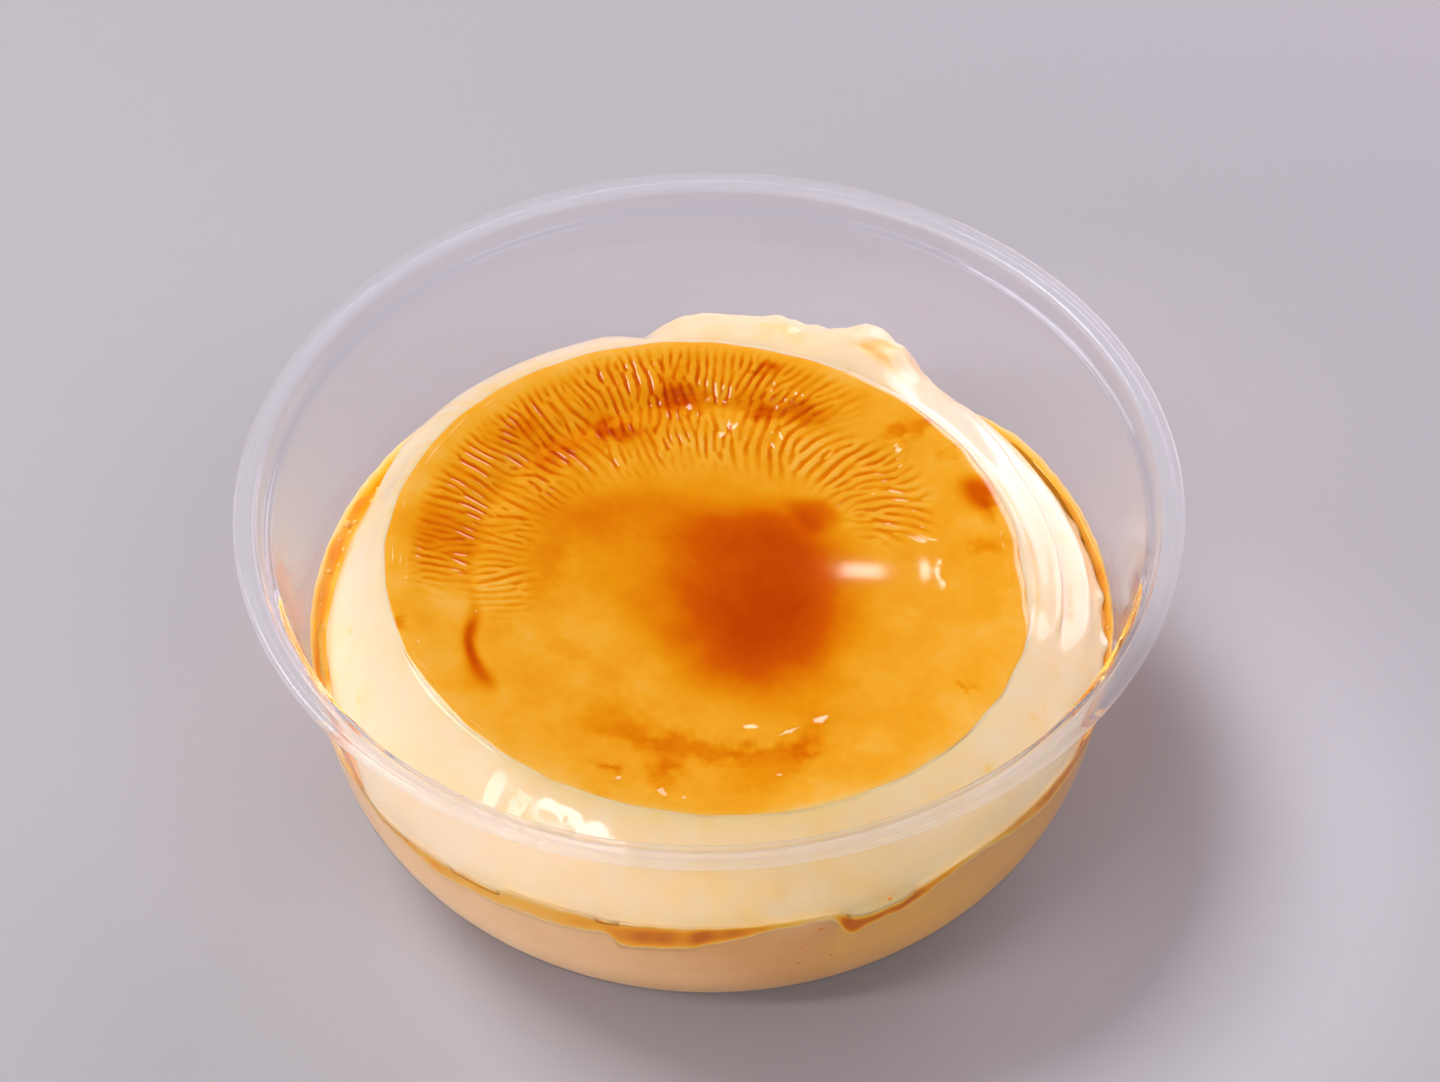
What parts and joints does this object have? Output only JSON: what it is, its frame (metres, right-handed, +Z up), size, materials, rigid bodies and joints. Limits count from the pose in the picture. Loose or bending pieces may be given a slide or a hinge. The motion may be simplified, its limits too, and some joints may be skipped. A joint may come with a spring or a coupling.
{
  "type": "creme caramel in a clear plastic bowl",
  "caption": "Layered creme caramel with a glossy caramel top and a sauce seam, in a clear round plastic dessert bowl with a flat flange.",
  "frame": {"origin": "middle of the bowl's base, on the surface it stands on", "axes": "+Z up through the middle of the bowl; the pictured side faces -Y"},
  "size_m": [0.117, 0.117, 0.05],
  "materials": {
    "clear_plastic": "clear moulded polypropylene, glossy",
    "lower_custard": "pale set custard, moist",
    "caramel_sauce": "amber caramel sauce, wet",
    "upper_custard": "pale set custard, moist and smooth",
    "caramel_top": "caramel-soaked custard under thin syrup, glossy"
  },
  "bodies": {
    "root": {"bowl": "clear_plastic", "lower_custard": "lower_custard", "caramel_layer": "caramel_sauce", "upper_custard": "upper_custard", "caramel_top": "caramel_top"}
  },
  "joints": []
}
